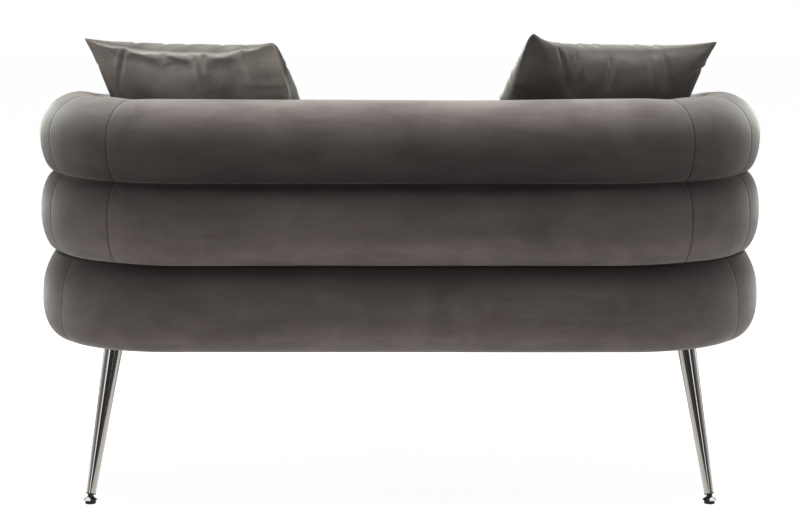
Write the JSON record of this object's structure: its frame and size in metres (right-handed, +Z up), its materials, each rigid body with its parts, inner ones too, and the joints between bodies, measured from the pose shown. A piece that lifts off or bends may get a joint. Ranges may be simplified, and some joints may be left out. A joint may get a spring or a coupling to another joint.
{
  "type": "two-seater sofa",
  "caption": "Small velvet sofa whose padded rolls stack round back and arms, with a crowned seat, loose corner cushions and splayed tapered metal legs on levelling feet.",
  "frame": {"origin": "on the floor, midway across the width and the depth", "axes": "+X to the right as one faces the sofa's front, +Y from the front to the back, +Z up"},
  "size_m": [1.35, 0.7, 0.8438],
  "materials": {
    "velvet": "short velvet pile, dark warm grey",
    "cushion_velvet": "short velvet pile, dark warm grey",
    "fibre_fill": "white fibre pad",
    "foam": "pale yellow foam",
    "felt": "grey felt",
    "webbing": "black elastic webbing",
    "plywood": "raw plywood",
    "timber": "raw softwood",
    "dust_cloth": "black non-woven cloth",
    "plate_steel": "black powder coat",
    "polished_steel": "polished stainless",
    "black_plastic": "black moulded plastic",
    "black_steel": "blackened steel",
    "black_rubber": "black rubber"
  },
  "bodies": {
    "sofa": {"back_panel": "plywood", "back_rail": "timber", "base_board": "plywood", "dust_cover": "dust_cloth", "front_corner_blocks": "timber", "front_left_leg_plate": "plate_steel", "front_rail": "timber", "front_right_leg_plate": "plate_steel", "left_arm_panel": "plywood", "left_corner_panel": "plywood", "left_corner_rail": "timber", "left_side_rail": "timber", "leg_plugs": "black_plastic", "legs": "polished_steel", "mid_roll": "velvet", "rear_left_leg_plate": "plate_steel", "rear_right_leg_plate": "plate_steel", "right_arm_panel": "plywood", "right_corner_panel": "plywood", "right_corner_rail": "timber", "right_side_rail": "timber", "seat_cover": "velvet", "seat_felt": "felt", "seat_foam": "foam", "stretchers": "timber", "top_roll": "velvet", "webbing_cross": "webbing", "webbing_long": "webbing"},
    "rear_right_foot": {"rear_right_glide_stud": "black_steel", "rear_right_glide_flange": "polished_steel", "rear_right_glide_pad": "black_rubber"},
    "rear_left_foot": {"rear_left_glide_stud": "black_steel", "rear_left_glide_flange": "polished_steel", "rear_left_glide_pad": "black_rubber"},
    "front_right_foot": {"front_right_glide_stud": "black_steel", "front_right_glide_flange": "polished_steel", "front_right_glide_pad": "black_rubber"},
    "front_left_foot": {"front_left_glide_stud": "black_steel", "front_left_glide_flange": "polished_steel", "front_left_glide_pad": "black_rubber"},
    "right_pillow": {"right_pillow_cover": "cushion_velvet", "right_pillow_fill": "fibre_fill"},
    "left_pillow": {"left_pillow_cover": "cushion_velvet", "left_pillow_fill": "fibre_fill"}
  },
  "joints": [
    {"name": "rear_right_levelling", "type": "slide", "parent": "sofa", "child": "rear_right_foot", "axis": [0.1513, 0.1513, -0.9768], "range_m": [0, 0.01]},
    {"name": "rear_left_levelling", "type": "slide", "parent": "sofa", "child": "rear_left_foot", "axis": [-0.1513, 0.1513, -0.9768], "range_m": [0, 0.01]},
    {"name": "front_right_levelling", "type": "slide", "parent": "sofa", "child": "front_right_foot", "axis": [0.1993, -0.0781, -0.9768], "range_m": [0, 0.01]},
    {"name": "front_left_levelling", "type": "slide", "parent": "sofa", "child": "front_left_foot", "axis": [-0.1993, -0.0781, -0.9768], "range_m": [0, 0.01]},
    {"name": "right_pillow_lift", "type": "slide", "parent": "sofa", "child": "right_pillow", "axis": [0, 0, 1], "range_m": [0, 0.32]},
    {"name": "left_pillow_lift", "type": "slide", "parent": "sofa", "child": "left_pillow", "axis": [0, 0, 1], "range_m": [0, 0.32]}
  ]
}
